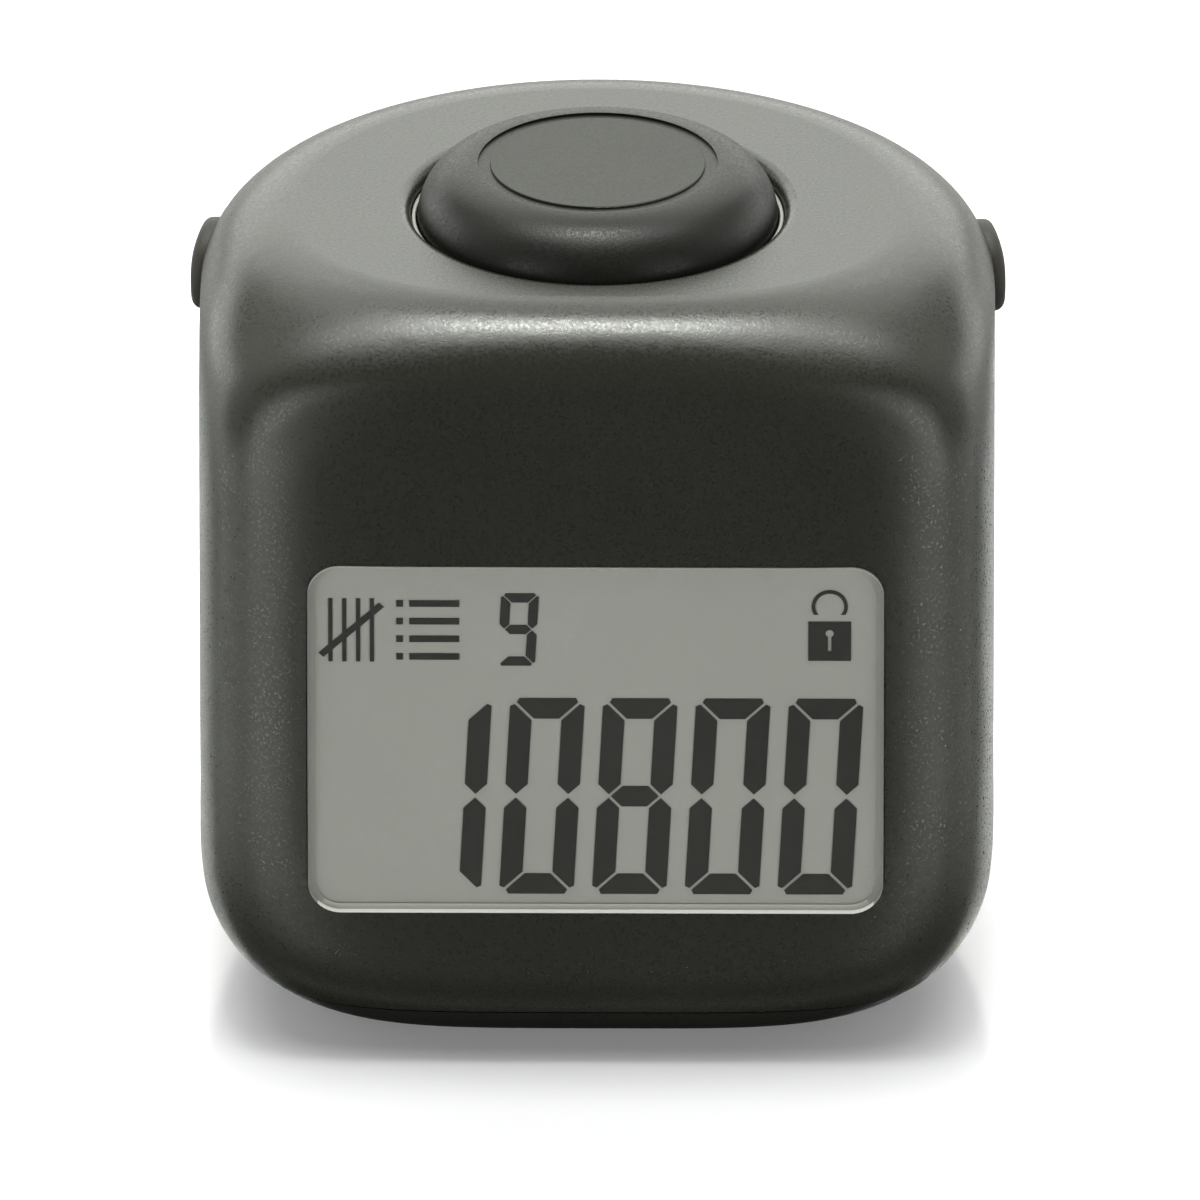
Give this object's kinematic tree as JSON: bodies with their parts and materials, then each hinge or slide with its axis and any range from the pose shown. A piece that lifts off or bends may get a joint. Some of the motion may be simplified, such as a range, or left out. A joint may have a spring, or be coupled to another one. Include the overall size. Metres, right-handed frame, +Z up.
{
  "type": "hand tally counter",
  "caption": "Rounded pocket tally counter with a top thumb button, a flush segmented display on the front, a small key on each side and a coin-cell door below.",
  "frame": {"origin": "middle of the case on the surface it rests on", "axes": "+Z up out of the thumb button, -Y out of the display, +X towards the right-hand side key as the display is read"},
  "size_m": [0.039, 0.0328, 0.0408],
  "materials": {
    "case": "fine matte texture",
    "base": "fine matte texture",
    "seal_rubber": "matt",
    "cell_steel": "satin",
    "contact_steel": "satin",
    "screw_steel": "zinc plated",
    "button": "fine matte texture",
    "inlay": "satin",
    "guide_ring": "satin",
    "silicone": "translucent silicone",
    "carbon": "matt",
    "pad_gold": "gold plated",
    "board": "solder mask",
    "black_nylon": "matt",
    "lens": "clear, satin",
    "lcd_glass": "clear",
    "reflector": "grey-green film",
    "lcd_frame": "matt",
    "flex": "polyimide film",
    "ink": "dark liquid crystal segments",
    "epoxy": "gloss epoxy",
    "can_steel": "satin",
    "chip_tan": "ceramic",
    "chip_black": "ceramic",
    "lead_red": "insulation",
    "lead_black": "insulation",
    "key_rubber": "matt",
    "plunger": "matt"
  },
  "bodies": {
    "case": {"main_shell": "case", "base_cover": "base", "door_seal": "seal_rubber", "coin_cell": "cell_steel", "negative_contact": "contact_steel", "positive_contact": "contact_steel", "base_screws": "screw_steel", "button_guide_ring": "guide_ring", "silicone_dome": "silicone", "contact_pads": "pad_gold", "button_board": "board", "board_screws": "screw_steel", "header_pins": "pad_gold", "header_block": "black_nylon", "display_lens": "lens", "lcd_upper_glass": "lcd_glass", "lcd_lower_glass": "lcd_glass", "lcd_reflector": "reflector", "lcd_frame": "lcd_frame", "lcd_flex": "flex", "lcd_digits": "ink", "lcd_icons": "ink", "main_pcb": "board", "controller_blob": "epoxy", "timing_crystal": "can_steel", "chip_capacitors": "chip_tan", "chip_resistors": "chip_black", "positive_lead": "lead_red", "negative_lead": "lead_black", "right_switch_body": "black_nylon", "right_switch_shield": "can_steel", "left_switch_body": "black_nylon", "left_switch_shield": "can_steel"},
    "thumb_button": {"count_button": "button", "button_inlay": "inlay"},
    "dome_contact": {"contact_pill": "carbon"},
    "battery_door": {"battery_door": "base"},
    "right_key": {"right_side_key": "key_rubber"},
    "right_plunger": {"right_switch_plunger": "plunger"},
    "left_key": {"left_side_key": "key_rubber"},
    "left_plunger": {"left_switch_plunger": "plunger"}
  },
  "joints": [
    {"name": "count_button_press", "type": "slide", "parent": "case", "child": "thumb_button", "axis": [0, 0, -1], "range_m": [0, 0.001], "stiffness_N_per_m": 1200, "springref_m": -0.0003, "deforming": ["silicone_dome"]},
    {"name": "contact_pill_press", "type": "slide", "parent": "case", "child": "dome_contact", "axis": [0, 0, -1], "range_m": [0, 0.001]},
    {"name": "right_key_press", "type": "slide", "parent": "case", "child": "right_key", "axis": [-1, 0, 0], "range_m": [0, 0.00035], "stiffness_N_per_m": 3000, "springref_m": -0.0001},
    {"name": "right_plunger_press", "type": "slide", "parent": "case", "child": "right_plunger", "axis": [-1, 0, 0], "range_m": [0, 0.00035]},
    {"name": "left_key_press", "type": "slide", "parent": "case", "child": "left_key", "axis": [1, 0, 0], "range_m": [0, 0.00035], "stiffness_N_per_m": 3000, "springref_m": -0.0001},
    {"name": "left_plunger_press", "type": "slide", "parent": "case", "child": "left_plunger", "axis": [1, 0, 0], "range_m": [0, 0.00035]},
    {"name": "battery_door_turn", "type": "hinge", "parent": "case", "child": "battery_door", "pos_m": [0, -0.00091, 0.0008], "axis": [0, 0, 1], "range_deg": [-45, 0]}
  ],
  "couplings": [
    {"joint": "contact_pill_press", "follows": "count_button_press", "ratio": 1},
    {"joint": "right_plunger_press", "follows": "right_key_press", "ratio": 1},
    {"joint": "left_plunger_press", "follows": "left_key_press", "ratio": 1}
  ]
}
